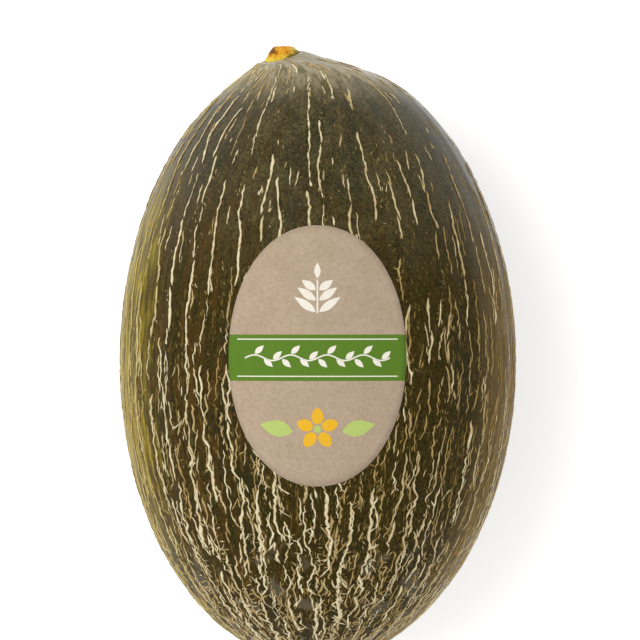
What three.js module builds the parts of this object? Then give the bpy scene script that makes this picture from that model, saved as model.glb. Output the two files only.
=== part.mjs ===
// A piel de sapo melon lying on its side, with the corky stub of its stem and an oval paper label.
// Millimetres, +Z up. +Y points to the stem end and +X to the right of the label.
// The origin is the middle of the small flat spot that the fruit rests on.
import * as THREE from "three";

// The fruit: half its width, half its height, and how far each end is from the widest girth.
const SIDE_RADIUS = 80;
const TOP_RADIUS = 78.5;
const STEM_HALF = 123.5;
const BLOSSOM_HALF = 121.1;
const GIRTH_Y = -0.6;
const SPOT_DEPTH = 0.8;
const CENTRE_HEIGHT = TOP_RADIUS - SPOT_DEPTH;

// Both ends bend a little to -X, and the tip at the stem leans further, with a low neck that tilts
// to -X and upwards.
const BEND = 1.4;
const LEAN = 15.6;
const LEAN_SPREAD = 18.6;
const NECK_RISE = 1.6;
const NECK_SPREAD = 10;
const NECK_SLOPE = 0.53;
const NECK_TILT = 0.37;

// The raised net of cork: lines along the fruit, each broken into streaks. The lines wander in
// waves, and each has a kink at every row of points.
const LINES = 48;
const ROWS = 38;
const STREAK_WIDTH = 2.6;
const STREAK_HEIGHT = 0.9;
const WIDEST_SHARE = 0.24;
const NET_RADIUS = 14;
const LINE_JITTER = 0.3;
const ROW_STAGGER = 0.6;
const KINK_SHARE = 0.1;
const WAVES = [
  { share: 0.09, least: 2, spread: 3 },
  { share: 0.05, least: 7, spread: 6 },
  { share: 0.04, least: 16, spread: 8 },
];
const SEED = 2024;

// Streak and gap lengths in millimetres at the stem end, and at the blossom end. The gaps close up
// within the first half. Near the stem the streaks are longer on the -X side than on the other, and
// short right at the tip.
const STEM_STREAK = [10, 30];
const BLOSSOM_STREAK = [40, 110];
const STEM_GAP = [30, 90];
const BLOSSOM_GAP = [2, 7];
const GAP_CLOSING = 0.45;
const FIRST_STREAK = [0.1, 1];
const VIGOUR_SPREAD = 0.5;
const VIGOUR_SIDE = -1.4;
const TIP_SHARE = 0.35;
const TIP_GROWTH = 1.4;
const ARC_PER_RADIAN = 112;

// The net fades out towards the flat spot between these distances from its middle.
const SPOT_FADE = [22, 44];

// The scar at the blossom end, as rings of radius and height above the skin.
const BLOSSOM_RINGS = [
  [9.5, 0],
  [5.6, 0.7],
  [3.8, 0.1],
];
const BLOSSOM_PIT = -0.9;

// The stub of the stem and the socket that it sits in. Heights are above the socket's mouth.
// The stub narrows to a slanted cut face that is off centre and highest on its -X side.
const SOCKET_MOUTH = 7.5;
const SOCKET_FLOOR = 7.2;
const SOCKET_DEPTH = 1.6;
const STUB_BOTTOM = -1.3;
const STUB_BOTTOM_RADIUS = 6.8;
const STUB_RADIUS = 7.1;
const STUB_TOP_RADIUS = 3.9;
const STUB_TOP_SHIFT = 1.5;
const STUB_HEIGHT = 3.9;
const STUB_SLANT = 0.27;
const STUB_DIP = 0.6;
const STUB_SHARES = [0.03, 0.4, 0.75, 0.95];
const STUB_CORNER = 0.85;
const STUB_INNER = 0.5;
const STUB_LUMPS = [
  { reach: 0.05, count: 5 },
  { reach: 0.04, count: 2 },
];
const STUB_SIDES = 24;

// The label: an oval of paper a little above the skin, seen from above at this size.
const LABEL_X = -0.2;
const LABEL_Y = 2.4;
const LABEL_HALF_WIDTH = 34.4;
const LABEL_HALF_LENGTH = 50.8;
const LABEL_GAP = 0.5;
const LABEL_THICKNESS = 0.6;
const LABEL_MARGIN = 3;
const LABEL_RINGS = 6;
const LABEL_SIDES = 44;

// Colours and roughness: dark green rind, yellow cork and brown wrapping paper.
const RIND = { color: 0x4a432c, roughness: 0.42 };
const CORK = { color: 0xc7a247, roughness: 0.8 };
const KRAFT_PAPER = { color: 0xbca88f, roughness: 0.85 };

// A generator that gives the same numbers between 0 and 1 on every run.
const DRAW_FACTOR = 16807;
const DRAW_RANGE = 2147483647;

function seeded(seed) {
  let state = seed;
  return () => {
    state = (state * DRAW_FACTOR) % DRAW_RANGE;
    return state / DRAW_RANGE;
  };
}

const mix = (low, high, share) => low + (high - low) * share;
const between = ([low, high], share) => mix(low, high, share);
const smooth = (low, high, value) => THREE.MathUtils.smoothstep(value, low, high);

// A point of the skin. The angle from the stem end is 0 there and PI at the blossom end.
// The longitude is 0 at the top of the lying fruit and PI / 2 on its +X side.
function skinPoint(angle, longitude, height = 0) {
  const half = Math.cos(angle) > 0 ? STEM_HALF : BLOSSOM_HALF;
  const radius = SIDE_RADIUS * Math.sin(angle);
  const across = radius * Math.sin(longitude);
  const up = TOP_RADIUS * Math.sin(angle) * Math.cos(longitude);
  const along = half * Math.cos(angle);
  const atStem = Math.cos(angle) > 0 ? 1 : 0;
  const lean = atStem * LEAN * Math.exp(-((radius / LEAN_SPREAD) ** 2));
  const neck = atStem * Math.exp(-((radius / NECK_SPREAD) ** 2));
  const normal = new THREE.Vector3(across / SIDE_RADIUS ** 2, along / half ** 2, up / TOP_RADIUS ** 2);
  const point = new THREE.Vector3(
    across - lean - BEND * Math.cos(angle) ** 2,
    GIRTH_Y + along + neck * (NECK_RISE + NECK_SLOPE * across - NECK_TILT * up),
    CENTRE_HEIGHT + up,
  );
  point.addScaledVector(normal.normalize(), height);
  point.z = Math.max(point.z, 0);
  return point;
}

// The angle from the stem end at which the fruit has this radius across.
const angleAt = (radius) => Math.asin(radius / SIDE_RADIUS);

// The net runs between these angles, with its rows of points this far apart.
const NET_START = angleAt(NET_RADIUS);
const NET_STEP = (Math.PI - 2 * NET_START) / ROWS;

// The socket's mouth in the skin: its centre, with +X across it and +Y out of the fruit.
function socketMouth() {
  const rim = angleAt(SOCKET_MOUTH);
  const left = skinPoint(rim, -Math.PI / 2);
  const right = skinPoint(rim, Math.PI / 2);
  const upright = skinPoint(rim, 0).sub(skinPoint(rim, Math.PI));
  const across = right.clone().sub(left).normalize();
  const out = upright.cross(across).normalize();
  const up = across.clone().cross(out);
  return new THREE.Matrix4().makeBasis(across, out, up).setPosition(left.lerp(right, 0.5));
}

// One line of the net: where it lies, how it wanders, and its streaks as pairs of angles.
function netLine(index, draw) {
  const pitch = (2 * Math.PI) / LINES;
  const middle = pitch * (index + 0.5 + LINE_JITTER * (draw() - 0.5));
  const waves = WAVES.map(({ share, least, spread }) => ({
    reach: share * pitch,
    pace: least + spread * draw(),
    phase: 2 * Math.PI * draw(),
  }));
  const stagger = ROW_STAGGER * (draw() - 0.5);
  const kinks = Array.from({ length: ROWS + 1 }, () => KINK_SHARE * pitch * (2 * draw() - 1));
  const vigour = 1 + VIGOUR_SPREAD * Math.cos(middle - VIGOUR_SIDE);
  const streaks = [];
  let angle = between(FIRST_STREAK, draw());
  while (angle < Math.PI) {
    const share = angle / Math.PI;
    const tip = Math.min(TIP_SHARE + TIP_GROWTH * angle, 1);
    const stemStreak = tip * vigour * between(STEM_STREAK, draw());
    const streak = mix(stemStreak, between(BLOSSOM_STREAK, draw()), share);
    const stemGap = between(STEM_GAP, draw()) / vigour;
    const gap = mix(stemGap, between(BLOSSOM_GAP, draw()), share ** GAP_CLOSING);
    const end = angle + streak / ARC_PER_RADIAN;
    streaks.push([angle, end]);
    angle = end + gap / ARC_PER_RADIAN;
  }
  const longitude = (at) => {
    const row = THREE.MathUtils.clamp((at - NET_START) / NET_STEP - stagger, 0, ROWS);
    const before = Math.floor(row);
    const kink = mix(kinks[before], kinks[Math.min(before + 1, ROWS)], row - before);
    const waving = (sum, { reach, pace, phase }) => sum + reach * Math.sin(pace * at + phase);
    return waves.reduce(waving, middle + kink);
  };
  const onStreak = (at) => streaks.some(([start, end]) => at >= start && at <= end);
  return { longitude, onStreak, stagger };
}

// How much of the net's height is left at a point: none under the label or on the flat spot.
function netShare({ x, y, z }) {
  const labelReach = Math.hypot(
    (x - LABEL_X) / (LABEL_HALF_WIDTH + LABEL_MARGIN),
    (y - LABEL_Y) / (LABEL_HALF_LENGTH + LABEL_MARGIN),
  );
  if (z > CENTRE_HEIGHT && labelReach < 1) return 0;
  return z < CENTRE_HEIGHT ? smooth(...SPOT_FADE, Math.hypot(x, y)) : 1;
}

// Joins rings of points into one closed surface. Where two rings differ, the larger has a whole
// number of times the points of the smaller. A ring of one point closes an end.
function closedSurface(rings) {
  const points = [];
  const faces = [];
  const starts = rings.map((ring) => points.push(...ring) - ring.length);
  for (let r = 0; r + 1 < rings.length; r++) {
    const above = rings[r].length;
    const below = rings[r + 1].length;
    const most = Math.max(above, below);
    for (let i = 0; i < most; i++) {
      const a = starts[r] + Math.floor((i * above) / most);
      const b = starts[r] + (Math.floor(((i + 1) * above) / most) % above);
      const c = starts[r + 1] + Math.floor((i * below) / most);
      const d = starts[r + 1] + (Math.floor(((i + 1) * below) / most) % below);
      if (a !== b) faces.push(a, c, b);
      if (c !== d) faces.push(b, c, d);
    }
  }
  const geometry = new THREE.BufferGeometry().setFromPoints(points);
  geometry.setIndex(faces);
  geometry.computeVertexNormals();
  return geometry;
}

// The fruit's surface: socket, net and blossom scar, as rings from the stem to the blossom end.
function melonGeometry() {
  const draw = seeded(SEED);
  const lines = Array.from({ length: LINES }, (_, index) => netLine(index, draw));

  const netRing = (row) =>
    lines.flatMap((line) => {
      const inside = row > 0 && row < ROWS;
      const angle = NET_START + NET_STEP * (row + (inside ? line.stagger : 0));
      const middle = line.longitude(angle);
      const radius = SIDE_RADIUS * Math.sin(angle);
      const most = (WIDEST_SHARE * 2 * Math.PI) / LINES;
      const side = Math.min(STREAK_WIDTH / radius, most) / 2;
      const share = inside && line.onStreak(angle) ? netShare(skinPoint(angle, middle)) : 0;
      return [
        skinPoint(angle, middle - side),
        skinPoint(angle, middle, STREAK_HEIGHT * share),
        skinPoint(angle, middle + side),
      ];
    });

  const plainRing = (angle, height = 0) =>
    lines.map((line) => skinPoint(angle, line.longitude(angle), height));

  const mouth = socketMouth();
  const inSocket = (radius, longitude) =>
    new THREE.Vector3(radius * Math.sin(longitude), -SOCKET_DEPTH, radius * Math.cos(longitude))
      .applyMatrix4(mouth);

  const rings = [];
  rings.push([inSocket(0, 0)]);
  rings.push(lines.map((line) => inSocket(SOCKET_FLOOR, line.longitude(0))));
  rings.push(plainRing(angleAt(SOCKET_MOUTH)));
  rings.push(plainRing(angleAt((SOCKET_MOUTH + NET_RADIUS) / 2)));
  for (let row = 0; row <= ROWS; row++) rings.push(netRing(row));
  for (const [radius, height] of BLOSSOM_RINGS) rings.push(plainRing(Math.PI - angleAt(radius), height));
  rings.push([skinPoint(Math.PI, 0, BLOSSOM_PIT)]);
  return closedSurface(rings);
}

// The stub in its own frame, with +Y out of the fruit. A share of 0 is its foot and 1 its cut face.
function stubGeometry() {
  const foot = (radius, height) =>
    Array.from({ length: STUB_SIDES }, (_, index) => {
      const longitude = (2 * Math.PI * index) / STUB_SIDES;
      return new THREE.Vector3(radius * Math.sin(longitude), height, radius * Math.cos(longitude));
    });
  const ring = (share, inwards = 1, dip = 0) =>
    Array.from({ length: STUB_SIDES }, (_, index) => {
      const longitude = (2 * Math.PI * index) / STUB_SIDES;
      const lumpy = (sum, { reach, count }) => sum + reach * Math.sin(count * longitude);
      const radius = mix(STUB_RADIUS, STUB_TOP_RADIUS * STUB_LUMPS.reduce(lumpy, 1), share) * inwards;
      const across = radius * Math.sin(longitude) + STUB_TOP_SHIFT * share;
      const height = share * (STUB_HEIGHT - STUB_SLANT * across) - dip;
      return new THREE.Vector3(across, height, radius * Math.cos(longitude));
    });
  return closedSurface([
    [new THREE.Vector3(STUB_TOP_SHIFT, STUB_HEIGHT - STUB_SLANT * STUB_TOP_SHIFT - STUB_DIP, 0)],
    ring(1, STUB_INNER, STUB_DIP),
    ring(1, STUB_CORNER),
    ...[...STUB_SHARES].reverse().map((share) => ring(share)),
    foot(STUB_BOTTOM_RADIUS, STUB_BOTTOM),
    [new THREE.Vector3(0, STUB_BOTTOM, 0)],
  ]);
}

// A point above the skin, straight up from a place on the floor plan and out by a height.
function aboveSkin(x, y, height) {
  const along = y - GIRTH_Y;
  const half = along > 0 ? STEM_HALF : BLOSSOM_HALF;
  const across = x + BEND * (along / half) ** 2;
  const share = Math.sqrt(1 - (across / SIDE_RADIUS) ** 2 - (along / half) ** 2);
  const normal = new THREE.Vector3(across / SIDE_RADIUS ** 2, along / half ** 2, share / TOP_RADIUS);
  const skin = new THREE.Vector3(x, y, CENTRE_HEIGHT + TOP_RADIUS * share);
  return skin.addScaledVector(normal.normalize(), height);
}

// The label as rings: out over its face, down its cut edge and back in underneath.
function labelGeometry() {
  const ovalRing = (share, height) =>
    Array.from({ length: LABEL_SIDES }, (_, index) => {
      const turn = (2 * Math.PI * index) / LABEL_SIDES;
      const x = LABEL_X + share * LABEL_HALF_WIDTH * Math.cos(turn);
      const y = LABEL_Y + share * LABEL_HALF_LENGTH * Math.sin(turn);
      return aboveSkin(x, y, height);
    });
  const shares = Array.from({ length: LABEL_RINGS }, (_, index) => (index + 1) / LABEL_RINGS);
  const face = LABEL_GAP + LABEL_THICKNESS;
  return closedSurface([
    [aboveSkin(LABEL_X, LABEL_Y, face)],
    ...shares.map((share) => ovalRing(share, face)),
    ...[...shares].reverse().map((share) => ovalRing(share, LABEL_GAP)),
    [aboveSkin(LABEL_X, LABEL_Y, LABEL_GAP)],
  ]);
}

// A named piece in its finish.
function piece(name, geometry, finish) {
  const mesh = new THREE.Mesh(geometry, new THREE.MeshStandardMaterial({ ...finish, metalness: 0 }));
  mesh.name = name;
  return mesh;
}

const melon = piece("melon", melonGeometry(), RIND);

const stemStub = piece("stem_stub", stubGeometry(), CORK);
stemStub.applyMatrix4(socketMouth());

const paperLabel = piece("paper_label", labelGeometry(), KRAFT_PAPER);

const fruit = new THREE.Group();
fruit.add(melon, stemStub, paperLabel);

export default fruit;
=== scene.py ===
import math

import bpy
import numpy as np
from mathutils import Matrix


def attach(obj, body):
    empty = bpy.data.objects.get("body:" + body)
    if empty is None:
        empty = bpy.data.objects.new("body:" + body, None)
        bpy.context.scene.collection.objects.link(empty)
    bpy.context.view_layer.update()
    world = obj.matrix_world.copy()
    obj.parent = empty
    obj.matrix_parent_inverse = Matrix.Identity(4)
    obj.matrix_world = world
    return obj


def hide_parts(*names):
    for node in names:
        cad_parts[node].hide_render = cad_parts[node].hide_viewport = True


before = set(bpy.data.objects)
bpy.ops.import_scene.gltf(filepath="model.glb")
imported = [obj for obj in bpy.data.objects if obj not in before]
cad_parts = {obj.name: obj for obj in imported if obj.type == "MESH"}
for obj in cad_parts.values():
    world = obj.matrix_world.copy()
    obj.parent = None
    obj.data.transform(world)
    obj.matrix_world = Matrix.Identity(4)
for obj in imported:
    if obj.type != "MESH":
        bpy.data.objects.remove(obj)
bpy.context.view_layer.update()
bpy.ops.object.select_all(action="DESELECT")

# The camera looks straight down on the lying fruit through a long lens, with the stem end at the
# top of the picture. The picture's middle and width are taken at the height of the widest outline.
# Sizes and places in this script are in millimetres, and angles in radians.
MM = 0.001
CENTRE_HEIGHT = 77.7
PICTURE_MIDDLE = (0.8, 16.4)
PICTURE_WIDTH = 259.2
CAMERA_DISTANCE = 2000

camera_data = bpy.data.cameras.new("camera")
camera_data.lens = camera_data.sensor_width * CAMERA_DISTANCE / PICTURE_WIDTH
camera = bpy.data.objects.new("camera", camera_data)
camera.location = (
    PICTURE_MIDDLE[0] * MM,
    PICTURE_MIDDLE[1] * MM,
    (CENTRE_HEIGHT + CAMERA_DISTANCE) * MM,
)
bpy.context.scene.collection.objects.link(camera)
bpy.context.scene.camera = camera

# The rind is the fruit's own skin, thin, tough and smooth with a dull shine. It grows as one closed
# surface: a long oval whose ends bend a little to -X, with a low tilted neck and a shallow socket
# at the stem, a ringed scar at the blossom end, and faint furrows from end to end.
SIDE_RADIUS = 80
TOP_RADIUS = 78.5
STEM_HALF = 123.5
BLOSSOM_HALF = 121.1
GIRTH_Y = -0.6
BEND = 1.4
LEAN = 15.6
LEAN_SPREAD = 18.6
NECK_RISE = 1.6
NECK_SPREAD = 10
NECK_SLOPE = 0.53
NECK_TILT = 0.37
SOCKET_MOUTH = 7.5
SOCKET_WALL = 0.5
SOCKET_DEPTH = 1.6
SCAR_RADII = [0, 3.8, 5.6, 9.5]
SCAR_HEIGHTS = [-0.9, 0.1, 0.6, 0]
RIND_COLUMNS = 400
RIND_ROWS = 240
FULL_TURN = 2 * math.pi
SEED_FACTOR = 16807
SEED_RANGE = 2147483647


def seeded(seed):
    """A generator of numbers between 0 and 1 that gives the same ones on every run."""
    while True:
        seed = seed * SEED_FACTOR % SEED_RANGE
        yield seed / SEED_RANGE


def smooth(low, high, value):
    """Goes from 0 to 1 without a kink as the value goes from low to high."""
    share = np.clip((value - low) / (high - low), 0, 1)
    return share * share * (3 - 2 * share)


def half_length(angle):
    """The fruit's length from its girth to the end that an angle is on."""
    return np.where(np.cos(angle) > 0, STEM_HALF, BLOSSOM_HALF)


def skin_point(angle, longitude, height):
    """Points of the skin in millimetres. The angle is 0 at the stem end and pi at the blossom end,
    and the longitude is 0 at the top of the lying fruit and pi / 2 on its +X side."""
    at_stem = np.cos(angle) > 0
    half = half_length(angle)
    radius = SIDE_RADIUS * np.sin(angle)
    across = radius * np.sin(longitude)
    up = TOP_RADIUS * np.sin(angle) * np.cos(longitude)
    along = half * np.cos(angle)
    lean = at_stem * LEAN * np.exp(-((radius / LEAN_SPREAD) ** 2))
    neck = at_stem * np.exp(-((radius / NECK_SPREAD) ** 2))
    normal = np.stack([across / SIDE_RADIUS**2, along / half**2, up / TOP_RADIUS**2], axis=-1)
    normal /= np.linalg.norm(normal, axis=-1, keepdims=True)
    point = np.stack(
        [
            across - lean - BEND * np.cos(angle) ** 2,
            GIRTH_Y + along + neck * (NECK_RISE + NECK_SLOPE * across - NECK_TILT * up),
            CENTRE_HEIGHT + up,
        ],
        axis=-1,
    )
    point += normal * np.asarray(height)[..., None]
    point[..., 2] = np.maximum(point[..., 2], 0)
    return point


FURROWS = 14
FURROW_SEED = 11
FURROW_DEPTH = 0.05
FEWEST_ROUND = 4
MORE_ROUND = 40
SLOWEST_SWAY = 1
MORE_SWAY = 5
SWAY_REACH = 0.8
furrow_draw = seeded(FURROW_SEED)
furrows = [
    (
        FEWEST_ROUND + round(MORE_ROUND * next(furrow_draw)),
        SLOWEST_SWAY + MORE_SWAY * next(furrow_draw),
        FULL_TURN * next(furrow_draw),
    )
    for _ in range(FURROWS)
]


def furrow_height(angle, longitude):
    """The faint furrows of the skin, which fade out at both ends."""
    waves = sum(
        np.sin(count * longitude + SWAY_REACH * np.sin(pace * angle + phase) + phase)
        for count, pace, phase in furrows
    )
    return FURROW_DEPTH * waves * np.sin(angle) ** 2


def add_ball(name, columns, rows):
    """Adds a ball of radius 1 with its poles on the Y axis."""
    bpy.ops.mesh.primitive_uv_sphere_add(
        segments=columns, ring_count=rows, radius=1, rotation=(-math.pi / 2, 0, 0)
    )
    bpy.ops.object.transform_apply(rotation=True)
    made = bpy.context.object
    made.name = name
    return made


def read_points(piece):
    points = np.empty(len(piece.data.vertices) * 3)
    piece.data.vertices.foreach_get("co", points)
    return points.reshape(-1, 3)


def ball_angles(piece):
    """The angle of each vertex from the +Y pole, and its longitude from +Z towards +X."""
    points = read_points(piece)
    return np.arccos(np.clip(points[:, 1], -1, 1)), np.arctan2(points[:, 0], points[:, 2])


def write_points(piece, points):
    """Gives the piece's vertices these places, which are in millimetres."""
    piece.data.vertices.foreach_set("co", (points * MM).astype(np.float32).ravel())
    piece.data.update()


def store(piece, name, values):
    """Keeps a number or a vector for each vertex, for the material to read."""
    kind, field = ("FLOAT_VECTOR", "vector") if values.ndim == 2 else ("FLOAT", "value")
    attribute = piece.data.attributes.new(name, kind, "POINT")
    attribute.data.foreach_set(field, values.astype(np.float32).ravel())


rind = add_ball("rind_skin", RIND_COLUMNS, RIND_ROWS)
rind_angle, rind_longitude = ball_angles(rind)
rind_radius = SIDE_RADIUS * np.sin(rind_angle)
scar_height = np.interp(rind_radius, SCAR_RADII, SCAR_HEIGHTS) * (rind_angle > math.pi / 2)
rind_height = furrow_height(rind_angle, rind_longitude) + scar_height
rind_points = skin_point(rind_angle, rind_longitude, rind_height)

rim = math.asin(SOCKET_MOUTH / SIDE_RADIUS)
left, right, top, bottom = (skin_point(rim, side * math.pi, 0) for side in (-0.5, 0.5, 0, 1))
mouth = (left + right) / 2
mouth_across = (right - left) / np.linalg.norm(right - left)
mouth_out = np.cross(top - bottom, mouth_across)
mouth_out /= np.linalg.norm(mouth_out)
mouth_up = np.cross(mouth_across, mouth_out)
in_socket = (rind_angle < math.pi / 2) & (rind_radius < SOCKET_MOUTH)
socket_share = rind_radius / SOCKET_MOUTH
socket_drop = SOCKET_DEPTH * smooth(0, SOCKET_WALL, SOCKET_MOUTH - rind_radius)
socket_points = (
    mouth
    + np.outer(socket_share * np.sin(rind_longitude), (right - left) / 2)
    + np.outer(socket_share * np.cos(rind_longitude), (top - bottom) / 2)
    - np.outer(socket_drop, mouth_out)
)
rind_points[in_socket] = socket_points[in_socket]
write_points(rind, rind_points)


def along_skin(angle, longitude):
    """A vector for patterns that run from end to end and close up towards both tips."""
    return np.stack(
        [
            SIDE_RADIUS * np.sin(longitude),
            half_length(angle) * (math.pi / 2 - angle),
            SIDE_RADIUS * np.cos(longitude),
        ],
        axis=-1,
    )


store(rind, "along_skin", along_skin(rind_angle, rind_longitude))
bpy.ops.object.shade_smooth()


def colour(red, green, blue):
    """A colour for a socket from how it looks on a screen, from 0 to 255."""
    parts = np.array([red, green, blue]) / 255
    linear = np.where(parts <= 0.04045, parts / 12.92, ((parts + 0.055) / 1.055) ** 2.4)
    return (*linear, 1)


def new_finish(name, surface):
    """A material with its node tree and its shader, which gets these values."""
    finish = bpy.data.materials.new(name)
    finish.use_nodes = True
    shader = finish.node_tree.nodes["Principled BSDF"]
    for key, value in surface.items():
        shader.inputs[key].default_value = value
    return finish, finish.node_tree, shader


def node(tree, kind, sockets, **settings):
    """Adds a node. A socket is given by name or number, with a value or an output to link."""
    made = tree.nodes.new("ShaderNode" + kind)
    for key, value in settings.items():
        setattr(made, key, value)
    for key, value in sockets.items():
        if isinstance(value, bpy.types.NodeSocket):
            tree.links.new(value, made.inputs[key])
        else:
            made.inputs[key].default_value = value
    return made


def stored(tree, name):
    """The outputs that read what is kept for each vertex under a name."""
    return node(tree, "Attribute", {}, attribute_name=name).outputs


# These helpers work in the node tree of the first socket that they are given.
def split(vector):
    """The three numbers of a vector."""
    return node(vector.id_data, "SeparateXYZ", {0: vector}).outputs


def scaled(vector, scale):
    sockets = {0: vector, 1: scale}
    return node(vector.id_data, "VectorMath", sockets, operation="MULTIPLY").outputs[0]


def place_in_mm(tree):
    """The place of a point of the piece in millimetres."""
    return scaled(node(tree, "TexCoord", {}).outputs["Object"], (1 / MM, 1 / MM, 1 / MM))


def drawn_out(lie, share):
    """Draws a pattern out from end to end of the fruit, by 1 / share."""
    return scaled(lie, (1, share, 1))


def noise(vector, scale, detail=2.0, roughness=0.5):
    """Noise from 0 to 1 whose features are about 1 / scale long."""
    sockets = {"Vector": vector, "Scale": scale, "Detail": detail, "Roughness": roughness}
    return node(vector.id_data, "TexNoise", sockets).outputs["Fac"]


def ramp(value, low, high, start=0.0, end=1.0):
    """A value that goes smoothly from start to end as another goes from low to high."""
    sockets = {"Value": value, "From Min": low, "From Max": high, "To Min": start, "To Max": end}
    return node(value.id_data, "MapRange", sockets, interpolation_type="SMOOTHSTEP").outputs[0]


def times(first, second):
    return node(first.id_data, "Math", {0: first, 1: second}, operation="MULTIPLY").outputs[0]


def plus(first, second):
    return node(first.id_data, "Math", {0: first, 1: second}, operation="ADD").outputs[0]


def overlap(*marks):
    """How much marks show where all of them are. Each is a value and its ramp."""
    share, *others = [ramp(value, *limits) for value, limits in marks]
    for other in others:
        share = times(share, other)
    return share


def ragged(place, pattern, reach):
    """A place that a pattern moves about, for the uneven edge of a patch."""
    return plus(place, times(pattern, reach))


def blend(share, under, over):
    """Lays one colour over another. The share is 0 where only the one under shows."""
    sockets = {0: share, 6: under, 7: over}
    return node(share.id_data, "Mix", sockets, data_type="RGBA").outputs[2]


def set_bump(shader, height, strength, depth):
    """Makes a surface look uneven by a pattern of this depth in millimetres."""
    tree = height.id_data
    bump = node(tree, "Bump", {"Height": height, "Strength": strength, "Distance": depth * MM})
    tree.links.new(bump.outputs[0], shader.inputs["Normal"])


DARK_OLIVE = colour(32, 25, 2)
LIGHT_OLIVE = colour(64, 55, 12)
BOTTLE_GREEN = colour(35, 37, 19)
MOSS_GREEN = colour(62, 64, 30)
VIOLET_BROWN = colour(70, 50, 36)
WARM_BROWN = colour(84, 56, 18)
SPECK_OLIVE = colour(120, 108, 64)
GOLD_DUST = colour(136, 112, 54)
GROUND_YELLOW = colour(178, 155, 28)
GROUND_OLIVE = colour(88, 74, 14)
SUN_BROWN = colour(132, 102, 40)
ASH_GREY = colour(106, 98, 82)
UPPER_OLIVE = colour(88, 80, 48)
# The stem end's olive and grey are partly the rind's own mottling, partly a painted sheen.
STEM_OLIVE = colour(116, 105, 52)
STEM_SHEEN_GREY = colour(160, 147, 116)
SCAR_TAN = colour(150, 124, 80)
SCAR_BROWN = colour(92, 68, 38)

# The ramps of the rind's marks: where a mark begins and is full, and then its least and most.
# They run over a pattern, or over millimetres: length along Y, side along X, height along Z.
LIGHT_SPECKLE = (0.34, 0.68)
GREEN_PATCHES = (0.42, 0.66, 0.0, 0.6)
VIOLET_MOTTLE = (0.5, 0.68, 0.0, 0.6)
MOSS_MOTTLE = (0.48, 0.32, 0.0, 0.5)
BROWN_STREAKS = (0.42, 0.7)
BROWN_BY_SIDE = (0.0, -58.0, 0.2, 0.95)
BROWN_BY_LENGTH = (40.0, 90.0, 1.0, 0.3)
UPPER_CLOUDS = (0.4, 0.62)
UPPER_SPECKLE = (0.38, 0.6, 0.1, 1.0)
UPPER_BY_LENGTH = (0.0, 90.0, 0.0, 0.95)
UPPER_BY_HEIGHT = (45.0, 80.0, 0.1, 1.0)
GOLD_DASHES = (0.56, 0.68, 0.0, 0.85)
DASH_CROWDS = (0.36, 0.6, 0.25, 1.0)
DASHES_BY_LENGTH = (70.0, -60.0, 0.3, 1.0)
OLIVE_SPECKS = (0.54, 0.68)
SPECKS_BY_LENGTH = (10.0, 100.0, 0.15, 0.65)
GROUND_STREAKS = (0.4, 0.6, 0.1, 1.0)
YELLOW_BY_SIDE = (-50.0, -66.0)
YELLOW_STEM_END = (110.0, 72.0)
YELLOW_BLOSSOM_END = (-88.0, -34.0)
YELLOW_SIDE_RAG = 24.0
YELLOW_END_RAG = 40.0
YELLOW_MOST = 0.9
SUN_STREAKS = (0.35, 0.6, 0.9, 0.3)
SUN_BY_SIDE = (60.0, 76.0)
SUN_STEM_END = (110.0, 40.0)
SUN_END_RAG = 60.0
ASH_PATCHES = (0.54, 0.64)
ASH_BY_LENGTH = (-62.0, -84.0)
ASH_MOST = 0.6
STEM_CLOUDS = 0.55
STEM_SPECKLE = 0.45
STEM_SHEEN_GREYING = (0.42, 0.56)
STEM_BY_LENGTH = (101.0, 118.0)
STEM_PATCHES = (0.3, 0.55, 0.6, 1.0)
SCAR_SPECKLE = (0.42, 0.62)
SCAR_BY_LENGTH = (-173.0, -177.0)
SCAR_RAG = 4.0
ROUGHNESS_SPECKLE = (0.3, 0.7, 0.56, 0.42)
SHINE_BY_LENGTH = (25.0, 75.0, 0.0, 0.3)
PORE_DEPTH = 0.12

rind_surface = {
    "Specular IOR Level": 0.04,
    "Sheen Weight": 0.4,
    "Sheen Roughness": 0.25,
    "Coat Roughness": 0.3,
}
rind_finish, tree, shader = new_finish("rind", rind_surface)
lie = stored(tree, "along_skin")["Vector"]
to_side, lengthwise, to_top = split(lie)
place_mm = place_in_mm(tree)
length_y = split(place_mm)["Y"]

patches = noise(drawn_out(lie, 0.35), 0.05, detail=3.0)
clouds = noise(drawn_out(lie, 0.5), 0.12, detail=4.0, roughness=0.65)
streaky = noise(drawn_out(lie, 0.12), 0.42, detail=3.0, roughness=0.6)
dashes = noise(drawn_out(lie, 0.2), 1.15)
crowds = noise(drawn_out(lie, 0.3), 0.1)
side_rag = noise(drawn_out(lie, 0.15), 0.4, detail=4.0, roughness=0.6)
mottle = noise(place_mm, 0.45, detail=3.0, roughness=0.6)
speckle = noise(place_mm, 0.8, detail=5.0, roughness=0.75)
specks = noise(place_mm, 2.0)
ash_patches = noise(place_mm, 0.075, detail=3.0)
pores = noise(place_mm, 1.3, detail=3.0, roughness=0.6)

skin = blend(ramp(speckle, *LIGHT_SPECKLE), DARK_OLIVE, LIGHT_OLIVE)
skin = blend(ramp(patches, *GREEN_PATCHES), skin, BOTTLE_GREEN)
skin = blend(ramp(mottle, *VIOLET_MOTTLE), skin, VIOLET_BROWN)
skin = blend(ramp(mottle, *MOSS_MOTTLE), skin, MOSS_GREEN)
browner = overlap((streaky, BROWN_STREAKS), (to_side, BROWN_BY_SIDE), (length_y, BROWN_BY_LENGTH))
skin = blend(browner, skin, WARM_BROWN)
upper = overlap(
    (clouds, UPPER_CLOUDS),
    (length_y, UPPER_BY_LENGTH),
    (to_top, UPPER_BY_HEIGHT),
    (speckle, UPPER_SPECKLE),
)
skin = blend(upper, skin, UPPER_OLIVE)
dashed = overlap((crowds, DASH_CROWDS), (length_y, DASHES_BY_LENGTH), (dashes, GOLD_DASHES))
skin = blend(dashed, skin, GOLD_DUST)
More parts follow.
